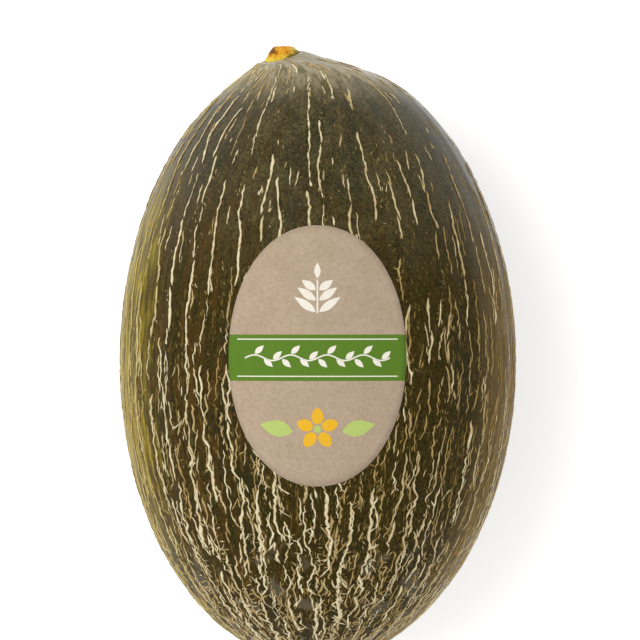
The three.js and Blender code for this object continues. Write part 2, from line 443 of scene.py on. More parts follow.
specked = overlap((specks, OLIVE_SPECKS), (length_y, SPECKS_BY_LENGTH))
skin = blend(specked, skin, SPECK_OLIVE)

ground = blend(ramp(streaky, *GROUND_STREAKS), GROUND_YELLOW, GROUND_OLIVE)
yellow_edge = ragged(to_side, side_rag, YELLOW_SIDE_RAG)
yellow_end = ragged(length_y, clouds, YELLOW_END_RAG)
yellow = overlap(
    (yellow_end, YELLOW_STEM_END), (length_y, YELLOW_BLOSSOM_END), (yellow_edge, YELLOW_BY_SIDE)
)
skin = blend(times(yellow, YELLOW_MOST), skin, ground)
sun_end = ragged(length_y, clouds, SUN_END_RAG)
sunny = overlap((to_side, SUN_BY_SIDE), (sun_end, SUN_STEM_END), (streaky, SUN_STREAKS))
skin = blend(sunny, skin, SUN_BROWN)
ashy = overlap((ash_patches, ASH_PATCHES), (length_y, ASH_BY_LENGTH))
skin = blend(times(ashy, ASH_MOST), skin, ASH_GREY)
# The stem end is greyer and lighter: partly the rind's own grey mottling, partly a painted sheen of the
# light that the smooth skin there reflects.
stem_mix = plus(times(clouds, STEM_CLOUDS), times(speckle, STEM_SPECKLE))
stem_skin_and_sheen = blend(ramp(stem_mix, *STEM_SHEEN_GREYING), STEM_OLIVE, STEM_SHEEN_GREY)
sheen_near_stem = overlap((length_y, STEM_BY_LENGTH), (clouds, STEM_PATCHES))
skin = blend(sheen_near_stem, skin, stem_skin_and_sheen)
scar_skin = blend(ramp(speckle, *SCAR_SPECKLE), SCAR_TAN, SCAR_BROWN)
scar_edge = ragged(lengthwise, mottle, SCAR_RAG)
skin = blend(ramp(scar_edge, *SCAR_BY_LENGTH), skin, scar_skin)
tree.links.new(skin, shader.inputs["Base Color"])
tree.links.new(ramp(speckle, *ROUGHNESS_SPECKLE), shader.inputs["Roughness"])
tree.links.new(ramp(length_y, *SHINE_BY_LENGTH), shader.inputs["Coat Weight"])
set_bump(shader, pores, 0.5, PORE_DEPTH)

rind.data.materials.append(rind_finish)
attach(rind, "root")
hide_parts("melon")

# The net is pale cork that grew where the skin cracked and healed. Its strongest streaks follow
# 48 wandering lines from end to end: short and far apart near the stem, long and joined up
# towards the blossom end. They stand a little proud and stop under the label.
LINES = 48
ROWS = 38
NET_RADIUS = 14
LINE_JITTER = 0.3
ROW_STAGGER = 0.6
KINK_SHARE = 0.1
WAVES = [(0.09, 2, 3), (0.05, 7, 6), (0.04, 16, 8)]
NET_SEED = 2024
STEM_STREAK = (10, 30)
BLOSSOM_STREAK = (40, 110)
STEM_GAP = (30, 90)
BLOSSOM_GAP = (2, 7)
GAP_CLOSING = 0.45
FIRST_STREAK = (0.1, 1)
VIGOUR_SPREAD = 0.5
VIGOUR_SIDE = -1.4
TIP_SHARE = 0.35
TIP_GROWTH = 1.4
ARC_PER_RADIAN = 112
NEAREST_STEM = 9.5
NEAREST_BLOSSOM = 8
stem_limit = math.asin(NEAREST_STEM / SIDE_RADIUS)
blossom_limit = math.pi - math.asin(NEAREST_BLOSSOM / SIDE_RADIUS)
rng = np.random.default_rng(NET_SEED)
draw = seeded(NET_SEED)


def mix(low, high, share):
    return low + (high - low) * share


def net_line(index, draw):
    """One line of the net: its longitude as a function of the angle, and its streaks."""
    pitch = FULL_TURN / LINES
    middle = pitch * (index + 0.5 + LINE_JITTER * (next(draw) - 0.5))
    waves = [
        (share * pitch, least + spread * next(draw), FULL_TURN * next(draw))
        for share, least, spread in WAVES
    ]
    stagger = ROW_STAGGER * (next(draw) - 0.5)
    kinks = [KINK_SHARE * pitch * (2 * next(draw) - 1) for _ in range(ROWS + 1)]
    vigour = 1 + VIGOUR_SPREAD * math.cos(middle - VIGOUR_SIDE)
    streaks = []
    angle = mix(*FIRST_STREAK, next(draw))
    while angle < math.pi:
        share = angle / math.pi
        tip = min(TIP_SHARE + TIP_GROWTH * angle, 1)
        stem_streak = tip * vigour * mix(*STEM_STREAK, next(draw))
        streak = mix(stem_streak, mix(*BLOSSOM_STREAK, next(draw)), share)
        stem_gap = mix(*STEM_GAP, next(draw)) / vigour
        gap = mix(stem_gap, mix(*BLOSSOM_GAP, next(draw)), share**GAP_CLOSING)
        end = angle + streak / ARC_PER_RADIAN
        streaks.append((angle, end))
        angle = end + gap / ARC_PER_RADIAN
    first = math.asin(NET_RADIUS / SIDE_RADIUS)
    step = (math.pi - 2 * first) / ROWS

    def longitude(at):
        waving = sum(reach * np.sin(pace * at + phase) for reach, pace, phase in waves)
        return middle + waving + np.interp((at - first) / step - stagger, np.arange(ROWS + 1), kinks)

    return longitude, streaks


def arc_speed(angle):
    """Millimetres along the skin for each radian of angle."""
    return np.hypot(SIDE_RADIUS * np.cos(angle), half_length(angle) * np.sin(angle))


def between(limits):
    """A random number between two limits."""
    return rng.uniform(*limits)


def drawn(ranges):
    """A random number for each pair of limits."""
    return [between(limits) for limits in ranges]


def stray(spread):
    """A random number around 0."""
    return rng.normal(0, spread)


ALL_ROUND = (0, FULL_TURN)
EITHER_SIDE = [-1, 1]
SPARE_KINKS = 3
EDGE_KINKS = ((0.8, 2.2), 0.34)
EDGE_WIDTHS = (0.5, 1.7)
EDGE_HEIGHTS = (0.7, 1.3)
TAPER_LENGTH = 1.8
TAPER_TIP = 0.15
TAPER_POWER = 0.7
DULL_SIDE = (0, 0.7)
DULL_FADE = (1.6, 2.2)
DULL_AT_BLOSSOM = 0.4
DULL_WIDTH = 0.8
DULL_TONE = 0.4


def kinked(length, spacing, reach):
    """Sideways steps along a streak, with a sharp kink every few millimetres."""
    kinks = np.cumsum(rng.uniform(*spacing, int(length[-1] / spacing[0]) + SPARE_KINKS)) - spacing[1]
    return np.interp(length, kinks, rng.normal(0, reach, len(kinks)))


def cork_streak(angle, longitude, width, height, tone):
    """One streak as rows of angle, longitude, half width, height and tone. Its edges are uneven
    and its ends taper. On the +X side of the fruit streaks are slimmer and duller, though less so
    towards the blossom end."""
    dull = smooth(*DULL_SIDE, math.sin(longitude[0]))
    dull = dull * mix(1, DULL_AT_BLOSSOM, smooth(*DULL_FADE, angle[0]))
    steps_along = np.diff(angle) * arc_speed(angle[1:])
    steps_aside = np.diff(longitude) * SIDE_RADIUS * np.sin(angle[1:])
    length = np.concatenate([[0], np.cumsum(np.hypot(steps_along, steps_aside))])
    from_end = np.minimum(length, length[-1] - length)
    thin = np.clip(from_end / (TAPER_LENGTH * width), TAPER_TIP, 1) ** TAPER_POWER
    uneven = 1 + kinked(length, *EDGE_KINKS)
    half_width = 0.5 * width * mix(1, DULL_WIDTH, dull) * thin * np.clip(uneven, *EDGE_WIDTHS)
    lift = height * thin * np.clip(uneven, *EDGE_HEIGHTS)
    tones = np.full(len(angle), tone + DULL_TONE * dull)
    return np.stack([angle, longitude, half_width, lift, tones], axis=-1)


FEWEST_STEPS = 4
BRANCH_STEP = 0.7
BRANCH_BOW = 0.08
BRANCH_KINKS = ((1, 2.5), 0.16)


def cork_branch(angle, longitude, heading, length, width, height, tone):
    """A short streak that leaves a point of the skin in a direction: 0 is towards the blossom end."""
    step = np.linspace(0, length, max(FEWEST_STEPS, int(length / BRANCH_STEP)))
    bow = stray(BRANCH_BOW) * np.sin(step / length * math.pi) * length
    bow = bow + kinked(step, *BRANCH_KINKS)
    ahead = math.cos(heading) * step - math.sin(heading) * bow
    aside = math.sin(heading) * step + math.cos(heading) * bow
    at = np.clip(angle + ahead / arc_speed(angle), stem_limit, blossom_limit)
    return cork_streak(at, longitude + aside / (SIDE_RADIUS * np.sin(at)), width, height, tone)


TIP_HOLD = 2.2
CHAIN_STEP = 0.75
CHAIN_END = 0.01
CHAIN_CALM = 0.3
CHAIN_UNREST = (0.6, 1.8)
CHAIN_SHIFT = 0.35
CHAIN_SLANT = 0.06
CHAIN_BENDS = ((2.5, 6), 0.5)
CHAIN_KINKS = ((0.8, 1.9), 0.38)
CHAIN_WIDTHS = (0.75, 1.25)
CHAIN_TONES = (-0.1, 0.25)
CHAIN_JUMP = (0.3, 0.9)
CHAIN_ASIDE = (-1.4, 1.4)
CHAIN_GAP = (-2.5, 0.8)
BRANCHING = 0.35
BRANCHING_FROM = (0.42, 0.72)
BRANCH_HEADING = (0.35, 1.1)
BRANCH_BACKWARD = 0.4
BRANCH_LENGTH = (1.6, 5)
BRANCH_WIDTH = 0.7
BRANCH_HEIGHT = 0.8
BRANCH_TONE = 0.15


def side_step(angle, distance):
    """A sideways distance as a change of longitude, held back towards the tips."""
    return distance * np.minimum(1, TIP_HOLD * np.sin(angle)) / (SIDE_RADIUS * np.sin(angle))


def cork_chain(longitude, start, end, pieces, width, height, tone):
    """A long streak as a chain of short ones, each a little to one side of the one before, some
    with a short branch at the break."""
    chain = []
    unrest = CHAIN_CALM + (1 - CHAIN_CALM) * smooth(*CHAIN_UNREST, start)
    shift = stray(CHAIN_SHIFT)
    at = start
    while at < end - CHAIN_END:
        stop = min(at + between(pieces) / ARC_PER_RADIAN, end)
        angle = np.linspace(at, stop, max(FEWEST_STEPS, int((stop - at) * ARC_PER_RADIAN / CHAIN_STEP)))
        length = (angle - at) * ARC_PER_RADIAN
        slant = stray(CHAIN_SLANT) * (length - length.mean())
        kinks = kinked(length, *CHAIN_BENDS) + kinked(length, *CHAIN_KINKS)
        here = longitude(angle) + side_step(angle, shift + slant + unrest * kinks)
        piece_width = width * between(CHAIN_WIDTHS)
        chain.append(cork_streak(angle, here, piece_width, height, tone + between(CHAIN_TONES)))
        if rng.uniform() < BRANCHING * smooth(*BRANCHING_FROM, at / math.pi):
            heading = rng.choice(EITHER_SIDE) * between(BRANCH_HEADING)
            heading = heading + math.pi * (rng.uniform() < BRANCH_BACKWARD)
            chain.append(cork_branch(
                angle[-2], here[-2], heading, between(BRANCH_LENGTH),
                BRANCH_WIDTH * piece_width, BRANCH_HEIGHT * height, tone + BRANCH_TONE,
            ))
        jump = unrest * rng.choice(EITHER_SIDE) * between(CHAIN_JUMP)
        shift = np.clip(shift + jump, *CHAIN_ASIDE)
        at = stop + between(CHAIN_GAP) / ARC_PER_RADIAN
    return chain


LABEL_X = -0.2
LABEL_Y = 2.4
LABEL_HALF_WIDTH = 34.4
LABEL_HALF_LENGTH = 50.8
LABEL_TUCK = 0.955
SPOT_FADE = (22, 44)
SPOT_WIDTH = 0.3
LEAST_SPOT = 0.2
SHORTEST_RUN = 3
FULL_SECTION = [(-1.3, -0.3), (-0.66, 0.9), (0.66, 0.9), (1.3, -0.3)]
SLIM_SECTION = [(-1.2, -0.35), (0, 1), (1.2, -0.35)]


def lay_net(name, streaks, section, finish):
    """Makes streaks one piece of closed ribbons, left out under the label and on the flat spot. A
    section's points are shares of the half width to the side, and of the height."""
    streak_of = np.repeat(np.arange(len(streaks)), [len(streak) for streak in streaks])
    rows = np.concatenate(streaks)
    where = skin_point(rows[:, 0], rows[:, 1], 0)
    oval = np.hypot(
        (where[:, 0] - LABEL_X) / LABEL_HALF_WIDTH, (where[:, 1] - LABEL_Y) / LABEL_HALF_LENGTH
    )
    spot = smooth(*SPOT_FADE, np.hypot(where[:, 0], where[:, 1]))
    spot = np.where(where[:, 2] < CENTRE_HEIGHT, spot, 1)
    rows[:, 2] *= mix(SPOT_WIDTH, 1, spot)
    rows[:, 3] *= spot
    dropped = ((oval < LABEL_TUCK) & (where[:, 2] > CENTRE_HEIGHT)) | (spot < LEAST_SPOT)
    breaks = dropped | np.roll(dropped, 1) | (np.diff(streak_of, prepend=-1) != 0)
    run = np.cumsum(breaks)
    kept = ~dropped & (np.bincount(run, weights=~dropped)[run] >= SHORTEST_RUN)
    rows, run = rows[kept], run[kept]
    angle, longitude, half_width, lift, tone = rows.T

    joined = run[1:] == run[:-1]
    onward = np.diff(rows[:, :2], axis=0) * joined[:, None]
    heading = np.pad(onward, [(0, 1), (0, 0)]) + np.pad(onward, [(1, 0), (0, 0)])
    length_speed = arc_speed(angle)
    turn_speed = SIDE_RADIUS * np.sin(angle)
    ahead, aside = heading[:, 0] * length_speed, heading[:, 1] * turn_speed
    size = np.hypot(ahead, aside)
    rings = []
    for offset, share in section:
        reach = offset * half_width / size
        ring_angle = angle - reach * aside / length_speed
        ring_longitude = longitude + reach * ahead / turn_speed
        level = lift * share + furrow_height(ring_angle, ring_longitude)
        rings.append(skin_point(ring_angle, ring_longitude, level))
    sides = len(section)
    index = np.arange(len(rows) * sides).reshape(-1, sides)
    around = np.roll(index, -1, axis=1)
    walls = np.stack([index[:-1], around[:-1], around[1:], index[1:]], axis=-1)[joined]
    starts = np.concatenate([[True], ~joined])
    ends = np.concatenate([~joined, [True]])
    faces = walls.reshape(-1, 4).tolist() + index[starts][:, ::-1].tolist() + index[ends].tolist()

    mesh = bpy.data.meshes.new(name)
    mesh.from_pydata((np.stack(rings, axis=1).reshape(-1, 3) * MM).tolist(), [], faces)
    made = bpy.data.objects.new(name, mesh)
    bpy.context.scene.collection.objects.link(made)
    store(made, "across", np.tile([abs(offset) for offset, _ in section], len(rows)))
    store(made, "tone", np.repeat(tone, sides))
    store(made, "along_skin", np.repeat(along_skin(angle, longitude), sides, axis=0))
    mesh.shade_smooth()
    mesh.materials.append(finish)
    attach(made, "root")


CORK_CREAM = colour(242, 230, 190)
CORK_TAN = colour(187, 160, 106)
CORK_GOLD = colour(150, 126, 64)
CORK_YELLOW = colour(186, 164, 88)
# The moss and bark colours of the streaks' edges are partly the cork's own brown, partly painted shade.
CORK_BARK_AND_SHADE = colour(104, 70, 28)
CORK_MOSS = colour(124, 106, 42)
TAN_TONES = (0.1, 0.75)
GOLD_TONES = (0.65, 1.2)
TAN_BLUSH = (0.5, 0.7, 0.0, 0.6)
GOLD_GRAIN = (0.5, 0.74, 0.0, 0.5)
YELLOW_CORK_SIDE = (-60.0, -75.0, 0.0, 0.6)
FRINGE_BLUSH = (0.4, 0.6)
FRINGE_BY_OFFSET = (0.55, 1.05)
GRAIN_DEPTH = 0.15

cork_surface = {"Roughness": 0.75, "Specular IOR Level": 0.15}
cork_finish, tree, shader = new_finish("net_cork", cork_surface)
to_side = split(stored(tree, "along_skin")["Vector"])["X"]
offset = stored(tree, "across")["Fac"]
tone = stored(tree, "tone")["Fac"]
place_mm = place_in_mm(tree)
grain = noise(place_mm, 1.2, detail=3.0, roughness=0.65)
blush = noise(place_mm, 0.3)
cork = blend(ramp(tone, *TAN_TONES), CORK_CREAM, CORK_TAN)
cork = blend(ramp(tone, *GOLD_TONES), cork, CORK_GOLD)
cork = blend(ramp(blush, *TAN_BLUSH), cork, CORK_TAN)
cork = blend(ramp(grain, *GOLD_GRAIN), cork, CORK_GOLD)
cork = blend(ramp(to_side, *YELLOW_CORK_SIDE), cork, CORK_YELLOW)
# Each streak's edges, where it dips into the skin, are darker: partly the cork's own brown edge, partly
# painted shade where the raised streak meets the skin.
fringe_and_shade = blend(ramp(blush, *FRINGE_BLUSH), CORK_MOSS, CORK_BARK_AND_SHADE)
cork = blend(ramp(offset, *FRINGE_BY_OFFSET), cork, fringe_and_shade)
tree.links.new(cork, shader.inputs["Base Color"])
set_bump(shader, grain, 0.6, GRAIN_DEPTH)

STRONG_END_SPREAD = 0.06
STRONG_TIP_WIDTH = 0.45
STRONG_GROWTH = 0.6
STRONG_BROKEN_SIDE = (0.1, 0.8)
STRONG_PIECES = (9, 32)
STRONG_BROKEN_PIECES = (3, 10)
# The CORK of a kind of streak is the limits of its width, its height and its tone.
STRONG_CORK = [(0.85, 1.2), (0.3, 0.42), (-0.25, 0.2)]

net_lines = [net_line(index, draw) for index in range(LINES)]
strong = []
for longitude, streaks in net_lines:
    for start, end in streaks:
        start = max(start, stem_limit)
        end = min(end, blossom_limit - abs(stray(STRONG_END_SPREAD)))
        narrowing = min(1, STRONG_TIP_WIDTH + STRONG_GROWTH * math.sin((start + end) / 2))
        broken = smooth(*STRONG_BROKEN_SIDE, math.sin(longitude(start)))
        pieces = [mix(*limits, broken) for limits in zip(STRONG_PIECES, STRONG_BROKEN_PIECES)]
        width, height, tone = drawn(STRONG_CORK)
        strong += cork_chain(longitude, start, end, pieces, narrowing * width, height, tone)
lay_net("net_strong", strong, FULL_SECTION, cork_finish)

# A few short streaks of the same cork stand close round the tip of the stem end. They slant to
# either side, where the skin stretched least.
TIP_STREAKS = 52
TIP_START = (0.16, 0.55)
TIP_ARC = (0.05, 0.19)
TIP_SLANT = 0.25
TIP_PIECES = (4, 15)
TIP_CORK = [(0.75, 1.1), (0.2, 0.3), (-0.1, 0.75)]


def slanting(middle, slant, start):
    """The longitude of a streak that moves steadily to one side from its start."""
    def longitude(at):
        return middle + slant * (at - start)
    return longitude


tip_streaks = []
for _ in range(TIP_STREAKS):
    start = between(TIP_START)
    end = start + between(TIP_ARC)
    middle = between(ALL_ROUND)
    path = slanting(middle, stray(TIP_SLANT), start)
    tip_streaks += cork_chain(path, start, end, TIP_PIECES, *drawn(TIP_CORK))
lay_net("net_tip", tip_streaks, FULL_SECTION, cork_finish)

# Finer, browner cork fills in between the strong streaks: short broken lines near the stem, and
# long kinked ones further on. They start earlier on the sides of the fruit than on its top, and
# earliest on its +X side.
MEDIUM_LINES = 120
MEDIUM_JITTER = (-0.4, 0.4)
MEDIUM_PHASE = (0, 6)
MEDIUM_SWAY = 0.02
MEDIUM_PACE = 9
MEDIUM_END_SPREAD = 0.28
MEDIUM_START = (0.3, 1)
MEDIUM_LEFT_SHARE = 0.5
MEDIUM_FULL = (0.3, 0.6)
MEDIUM_EARLIER = (0.12, 0.16)
MEDIUM_STREAKS = [(2, 9), (8, 34)]
MEDIUM_GAPS = [(20, 90), (1.5, 9)]
MEDIUM_GAP_CLOSING = 0.5
MEDIUM_LEAST_ARC = 0.015
MEDIUM_PIECES = (3, 12)
MEDIUM_STEM_WIDTH = 0.65
MEDIUM_TIP_WIDTH = 0.4
MEDIUM_CORK = [(0.6, 1), (0.2, 0.32), (-0.05, 0.85)]


def swaying(middle, phase):
    """The longitude of a line that sways a little from end to end."""
    def longitude(at):
        return middle + MEDIUM_SWAY * np.sin(MEDIUM_PACE * at + phase)
    return longitude


medium = []
for index in range(MEDIUM_LINES):
    middle = FULL_TURN * (index + between(MEDIUM_JITTER)) / MEDIUM_LINES
    early = max(math.sin(middle), -MEDIUM_LEFT_SHARE * math.sin(middle))
    full_from, full_at = (place - sooner * early for place, sooner in zip(MEDIUM_FULL, MEDIUM_EARLIER))
    path = swaying(middle, between(MEDIUM_PHASE))
    last = blossom_limit - abs(stray(MEDIUM_END_SPREAD))
    at = between(MEDIUM_START)
    while at < last:
        full = float(smooth(full_from, full_at, at / math.pi))
        streak = mix(*drawn(MEDIUM_STREAKS), full)
        gap = mix(*drawn(MEDIUM_GAPS), full**MEDIUM_GAP_CLOSING)
        end = min(at + streak / ARC_PER_RADIAN, last)
        if end - at > MEDIUM_LEAST_ARC:
            width, height, tone = drawn(MEDIUM_CORK)
            width = mix(MEDIUM_STEM_WIDTH, width, full) * min(1, MEDIUM_TIP_WIDTH + math.sin(end))
            medium += cork_chain(path, at, end, MEDIUM_PIECES, width, height, tone)
        at = end + gap / ARC_PER_RADIAN
lay_net("net_medium", medium, SLIM_SECTION, cork_finish)

# Flecks of cork are the smallest cracks that healed. They stand in loose rows between the streaks,
# closer together towards the blossom end, and alone all over the skin.
FLECK_ROWS = 620
FLECK_PLACES = (0.12, 0.8, 0.55)
FLECK_HEADING = 0.15
FLECK_SLANT = 0.35
FLECK_TURN = 0.35
FLECK_TONE = (0.4, 1.1)
FLECK_TONE_SPREAD = 0.15
FLECKS_IN_ROW = (2, 9)
FLECK_LAST = 0.03
FLECK_SIZE = (0.5, 1.2)
FLECK_STRETCH = (1, 2.6)
FLECK_ASIDE = 0.009
FLECK_WIDTH = (0.45, 0.8)
FLECK_HEIGHT = (0.12, 0.22)
FLECK_SPACING = 2.2
LONE_FLECKS = 2200
LONE_REACH = (-0.97, 0.97)
LONE_HEADING = 0.5
LONE_LENGTH = (0.4, 1.1)
LONE_CORK = [(0.4, 0.65), (0.08, 0.16), (0.7, 1.2)]


def crowded(start, reach, power):
    """A random angle, more often towards the blossom end."""
    return math.pi * (start + reach * rng.uniform() ** power)


flecks = []
for _ in range(FLECK_ROWS):
    at = crowded(*FLECK_PLACES)
    middle = between(ALL_ROUND)
    heading = stray(FLECK_HEADING)
    slant = stray(FLECK_SLANT)
    tone = between(FLECK_TONE)
    for _ in range(rng.integers(*FLECKS_IN_ROW)):
        if at > blossom_limit - FLECK_LAST:
            break
        length = between(FLECK_SIZE) * between(FLECK_STRETCH)
        flecks.append(cork_branch(
            at, middle + stray(FLECK_ASIDE) / math.sin(at), slant + stray(FLECK_TURN), length,
            between(FLECK_WIDTH), between(FLECK_HEIGHT), tone + stray(FLECK_TONE_SPREAD),
        ))
        step = length + rng.exponential(FLECK_SPACING)
        at += step / ARC_PER_RADIAN
        middle += math.tan(heading) * step / (SIDE_RADIUS * math.sin(at))
for _ in range(LONE_FLECKS):
    flecks.append(cork_branch(
        math.acos(between(LONE_REACH)), between(ALL_ROUND), stray(LONE_HEADING),
        between(LONE_LENGTH), *drawn(LONE_CORK),
    ))
lay_net("net_flecks", flecks, SLIM_SECTION, cork_finish)

# Rungs of cork lie across the skin between the long streaks near the blossom end, in ladders, and
# single links slant from one streak to the next.
LADDERS = 130
LADDER_FROM = (0.66, 0.93)
RUNGS = (3, 9)
RUNG_LAST = 0.02
RUNG_LENGTH = (0.9, 3.3)
RUNG_ASIDE = 0.012
RUNG_TURN = 0.2
RUNG_CORK = [(0.4, 0.65), (0.16, 0.26), (0.2, 0.9)]
RUNG_SPACING = (1.6, 4)
LINKS = 480
LINK_PLACES = (0.5, 0.44, 0.7)
LINK_HEADING = (0.2, 0.9)
LINK_LENGTH = (2, 7)
LINK_CORK = [(0.55, 0.9), (0.18, 0.3), (0.1, 0.9)]

links = []
for _ in range(LADDERS):
    at = math.pi * between(LADDER_FROM)
    middle = between(ALL_ROUND)
    for _ in range(rng.integers(*RUNGS)):
        if at > blossom_limit - RUNG_LAST:
            break
        length = between(RUNG_LENGTH)
        links.append(cork_branch(
            at, middle + stray(RUNG_ASIDE) / math.sin(at), math.pi / 2 + stray(RUNG_TURN), length,
            *drawn(RUNG_CORK),
        ))
        at += between(RUNG_SPACING) / ARC_PER_RADIAN
for _ in range(LINKS):
    links.append(cork_branch(
        crowded(*LINK_PLACES), between(ALL_ROUND), rng.choice(EITHER_SIDE) * between(LINK_HEADING),
        between(LINK_LENGTH), *drawn(LINK_CORK),
    ))
lay_net("net_links", links, SLIM_SECTION, cork_finish)

# Thin threads of cork lead from one strong streak to the next along the same line, most often on
# the -X side of the fruit.
THREAD_SIDE_AT = 1
THREAD_LEAST_GAP = 0.04
THREAD_LEAVES = (0, 0.35)
THREAD_REACHES = (0, 0.15)
THREAD_PIECES = (3, 10)
THREAD_CORK = [(0.5, 0.85), (0.2, 0.3), (-0.05, 0.6)]

threads = []
for longitude, streaks in net_lines:
    likely = 0.5 - 0.5 * math.sin(longitude(THREAD_SIDE_AT))
    for (_, before), (after, _) in zip([(0, stem_limit)] + streaks, streaks):
        gap = min(after, blossom_limit) - before
        if rng.uniform() < likely and gap > THREAD_LEAST_GAP:
            threads += cork_chain(
                longitude, before + between(THREAD_LEAVES) * gap, after - between(THREAD_REACHES) * gap,
                THREAD_PIECES, *drawn(THREAD_CORK),
            )
lay_net("net_threads", threads, SLIM_SECTION, cork_finish)

# The stub of the stem is dry yellow cork that sits in the socket. It narrows to a slanted cut
# face, off centre and highest on its -X side, where the bark has gone dark brown.
STUB_BOTTOM = -1.3
STUB_BOTTOM_RADIUS = 6.8
STUB_RADIUS = 7.1
STUB_TOP_RADIUS = 3.9
STUB_TOP_SHIFT = 1.5
STUB_HEIGHT = 3.9
STUB_SLANT = 0.27
STUB_DIP = 0.6
STUB_FOOT_SHARE = 0.2
STUB_FACE_SHARE = 0.72
LUMPS = [(0.05, 5), (0.04, 2)]
FIBRES = [(0.13, 23, 2), (0.08, 41, 0)]
FIBRE_PACE = 4
RIPPLE = 0.15
RIPPLE_PACES = (3, 2.3)
RIPPLE_DROP = 1.2
STUB_COLUMNS = 144
STUB_ROWS = 72

stub = add_ball("stem_cork", STUB_COLUMNS, STUB_ROWS)
stub_angle, stub_longitude = ball_angles(stub)
stub_share = 1 - stub_angle / math.pi
# The stub's outline from its bottom to its face: the share of the way, the share of the radius,
# and a level that adds to the height.
stub_outline = [
    (0, 0, STUB_BOTTOM),
    (0.12, STUB_BOTTOM_RADIUS / STUB_RADIUS, STUB_BOTTOM),
    (STUB_FOOT_SHARE, 1, 0),
    (STUB_FACE_SHARE, 1, 0),
    (0.8, 0.86, 0),
    (0.9, 0.5, -STUB_DIP),
    (1, 0, -STUB_DIP),
]
stub_marks, mark_radii, mark_levels = zip(*stub_outline)
stub_rise = np.interp(stub_share, [STUB_FOOT_SHARE, STUB_FACE_SHARE], [0, 1])
stub_inwards = np.interp(stub_share, stub_marks, mark_radii)
stub_level = np.interp(stub_share, stub_marks, mark_levels)
lumps = sum((size * np.sin(count * stub_longitude) for size, count in LUMPS), 1)
fibres = sum(
    depth * np.sin(count * stub_longitude + sway * np.sin(FIBRE_PACE * stub_rise))
    for depth, count, sway in FIBRES
)
stub_radius = mix(STUB_RADIUS, STUB_TOP_RADIUS * lumps, stub_rise) + fibres * np.sin(math.pi * stub_rise)
stub_radius *= stub_inwards
stub_across = stub_radius * np.sin(stub_longitude) + STUB_TOP_SHIFT * stub_rise
stub_upright = stub_radius * np.cos(stub_longitude)
stub_height = stub_rise * (STUB_HEIGHT - STUB_SLANT * stub_across) + stub_level
ripples = np.sin(RIPPLE_PACES[0] * stub_across) * np.sin(RIPPLE_PACES[1] * stub_upright)
stub_height += RIPPLE * stub_rise * (ripples - RIPPLE_DROP)
stub_points = (
    mouth
    + np.outer(stub_across, mouth_across)
    + np.outer(stub_upright, mouth_up)
    + np.outer(stub_height, mouth_out)
)
write_points(stub, stub_points)
bpy.ops.object.shade_smooth()

STUB_YELLOW = colour(236, 208, 70)
STUB_ORANGE = colour(232, 158, 34)
STUB_PALE = colour(220, 200, 110)
STUB_BROWN = colour(104, 64, 26)
# This olive is a darkened copy of the stub's yellow, for painted shade at its foot.
STUB_SHADE_OLIVE = colour(138, 116, 40)
ORANGE_RISE = (0.3, 1.8)
YELLOW_FIBRE = (0.5, 0.36, 0.0, 0.8)
PALE_SIDE = (3.4, 5.6)
PALE_RISE = (0.4, 1.4)
PALE_MOST = 0.8
FOOT_SHADE_SIDE = (0.0, 3.0)
FOOT_SHADE_RISE = (1.6, 0.2)
BROWN_SIDE = (-0.8, -2.4)
BROWN_RISE = (1.8, 3.0)
BROWN_MOST = 0.9
BROWN_FIBRE = (0.58, 0.7, 0.0, 0.7)
WOBBLE = 6.0
FIBRE_SHARE = 0.25
BARK_DEPTH = 0.4
stub_surface = {"Roughness": 0.8, "Specular IOR Level": 0.2}
stub_finish, tree, shader = new_finish("stem_cork", stub_surface)
place_mm = place_in_mm(tree)
from_mouth = node(tree, "VectorMath", {0: place_mm, 1: tuple(-mouth)}, operation="ADD").outputs[0]


def far_along(vector, direction):
    """How far a vector reaches in a direction."""
    sockets = {0: vector, 1: tuple(direction)}
    return node(vector.id_data, "VectorMath", sockets, operation="DOT_PRODUCT").outputs["Value"]


across = far_along(from_mouth, mouth_across)
up = far_along(from_mouth, mouth_up)
out = far_along(from_mouth, mouth_out)
wobble = times(plus(noise(place_mm, 0.5, detail=3.0), -0.5), WOBBLE)
wavy_out = plus(out, wobble)
fibre_place = node(tree, "CombineXYZ", {0: across, 1: up, 2: times(out, FIBRE_SHARE)}).outputs[0]
fibre = noise(fibre_place, 0.6, detail=3.0, roughness=0.55)
bark = blend(ramp(wavy_out, *ORANGE_RISE), STUB_YELLOW, STUB_ORANGE)
bark = blend(ramp(fibre, *YELLOW_FIBRE), bark, STUB_YELLOW)
pale_side = overlap((across, PALE_SIDE), (out, PALE_RISE))
bark = blend(times(pale_side, PALE_MOST), bark, STUB_PALE)
# The olive at the foot of the stub on its +X side is painted shade, where the stub meets the socket.
shaded_foot = overlap((across, FOOT_SHADE_SIDE), (wavy_out, FOOT_SHADE_RISE))
bark = blend(shaded_foot, bark, STUB_SHADE_OLIVE)
brown_top = overlap((plus(across, wobble), BROWN_SIDE), (out, BROWN_RISE))
bark = blend(times(brown_top, BROWN_MOST), bark, STUB_BROWN)
bark = blend(ramp(fibre, *BROWN_FIBRE), bark, STUB_BROWN)
tree.links.new(bark, shader.inputs["Base Color"])
set_bump(shader, noise(place_mm, 1.8, detail=4.0, roughness=0.65), 0.8, BARK_DEPTH)
stub.data.materials.append(stub_finish)
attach(stub, "root")
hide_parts("stem_stub")

# The label is an oval of brown wrapping paper, stuck on over the net, with a green band printed
# straight across it. It is cut from a disc, shaped to the skin, and given the paper's thickness.
LABEL_FULLNESS = 2.1
LABEL_LIFT = 0.5
PAPER_THICKNESS = 0.25
BAND_LOW = -7.3
BAND_HIGH = 10.7
LABEL_SIDES = 128
LABEL_CUTS = 14
label_top = LABEL_LIFT + PAPER_THICKNESS


